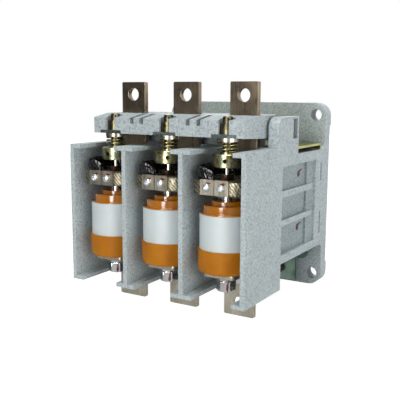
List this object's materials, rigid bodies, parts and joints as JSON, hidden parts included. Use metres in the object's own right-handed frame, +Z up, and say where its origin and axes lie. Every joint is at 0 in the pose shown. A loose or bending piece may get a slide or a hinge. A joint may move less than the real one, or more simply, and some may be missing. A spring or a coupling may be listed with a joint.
{
  "type": "vacuum contactor",
  "caption": "Vacuum contactor on a moulded frame with sealed interrupters in front bays, flat bar terminals, and a coil magnet that tilts a rocker beam to move the pull rods.",
  "frame": {"origin": "centre of the four mounting holes, on the rear mounting face", "axes": "+Y into the panel (the device faces -Y), +X to the right along the row of poles seen from the front, +Z up along the terminal bars"},
  "size_m": [0.169, 0.17, 0.1933],
  "materials": {
    "moulding": "moulded compound, fine grey speckle",
    "upper_bar": "tinned copper, brushed and tarnished",
    "lower_bar": "tinned copper, satin",
    "ceramic": "white alumina, satin",
    "orange_cap": "ochre enamel, glossy",
    "yellow_zinc": "yellow chromated zinc",
    "bright_steel": "bright zinc",
    "seat_steel": "dark zinc",
    "spring_steel": "yellow chromated spring wire",
    "magnet_steel": "grey soft iron",
    "contact_copper": "tinned copper",
    "winding": "copper winding under pale tape",
    "bobbin_plastic": "pale nylon",
    "rubber": "black rubber",
    "black_sleeve": "black shrink sleeve",
    "braid": "tinned copper strips"
  },
  "bodies": {
    "frame_body": {"frame": "moulding", "bearing_cap_left": "moulding", "bearing_cap_right": "moulding", "bearing_cap_screws": "bright_steel", "terminal_screws": "bright_steel", "interrupter_nuts": "bright_steel", "fixed_contacts": "contact_copper", "vapour_shields": "bright_steel", "bellows": "bright_steel", "magnet_yoke": "magnet_steel", "magnet_cores": "magnet_steel", "coil_bobbins": "bobbin_plastic", "coil_windings": "winding", "return_spring": "spring_steel", "magnet_bracket": "yellow_zinc", "magnet_screws": "bright_steel", "coil_terminals": "bright_steel", "stop_pads": "rubber", "shunt_sleeves": "black_sleeve", "upper_terminal_left": "upper_bar", "lower_terminal_left": "lower_bar", "interrupter_ceramic_left": "ceramic", "interrupter_top_cap_left": "orange_cap", "interrupter_bottom_cup_left": "orange_cap", "flexible_shunt_left": "braid", "upper_terminal_centre": "upper_bar", "lower_terminal_centre": "lower_bar", "interrupter_ceramic_centre": "ceramic", "interrupter_top_cap_centre": "orange_cap", "interrupter_bottom_cup_centre": "orange_cap", "flexible_shunt_centre": "braid", "upper_terminal_right": "upper_bar", "lower_terminal_right": "lower_bar", "interrupter_ceramic_right": "ceramic", "interrupter_top_cap_right": "orange_cap", "interrupter_bottom_cup_right": "orange_cap", "flexible_shunt_right": "braid"},
    "rocker_body": {"rocker": "moulding", "pivot_shaft": "bright_steel", "armature": "magnet_steel", "armature_screws": "bright_steel", "spring_seats": "seat_steel"},
    "stem_left": {"pull_rod_left": "yellow_zinc", "collar_left": "yellow_zinc", "moving_contact_left": "contact_copper", "shunt_clamp_left": "bright_steel", "stem_fasteners_left": "yellow_zinc", "contact_spring_left": "spring_steel"},
    "stem_centre": {"pull_rod_centre": "yellow_zinc", "collar_centre": "yellow_zinc", "moving_contact_centre": "contact_copper", "shunt_clamp_centre": "bright_steel", "stem_fasteners_centre": "yellow_zinc", "contact_spring_centre": "spring_steel"},
    "stem_right": {"pull_rod_right": "yellow_zinc", "collar_right": "yellow_zinc", "moving_contact_right": "contact_copper", "shunt_clamp_right": "bright_steel", "stem_fasteners_right": "yellow_zinc", "contact_spring_right": "spring_steel"}
  },
  "joints": [
    {"name": "rocker_turn", "type": "hinge", "parent": "frame_body", "child": "rocker_body", "pos_m": [0, -0.0967, 0.067], "axis": [1, 0, 0], "range_deg": [0, 3.3], "stiffness_Nm_per_rad": 4, "springref_deg": -20.05, "deforming": ["return_spring", "contact_spring_left", "contact_spring_centre", "contact_spring_right"]},
    {"name": "stem_slide_left", "type": "slide", "parent": "frame_body", "child": "stem_left", "axis": [0, 0, -1], "range_m": [0, 0.0018], "deforming": ["flexible_shunt_left"]},
    {"name": "stem_slide_centre", "type": "slide", "parent": "frame_body", "child": "stem_centre", "axis": [0, 0, -1], "range_m": [0, 0.0018], "deforming": ["flexible_shunt_centre", "bellows"]},
    {"name": "stem_slide_right", "type": "slide", "parent": "frame_body", "child": "stem_right", "axis": [0, 0, -1], "range_m": [0, 0.0018], "deforming": ["flexible_shunt_right"]}
  ],
  "couplings": [
    {"joint": "stem_slide_left", "follows": "rocker_turn", "m_per_rad": 0.03125},
    {"joint": "stem_slide_centre", "follows": "rocker_turn", "m_per_rad": 0.03125},
    {"joint": "stem_slide_right", "follows": "rocker_turn", "m_per_rad": 0.03125}
  ]
}
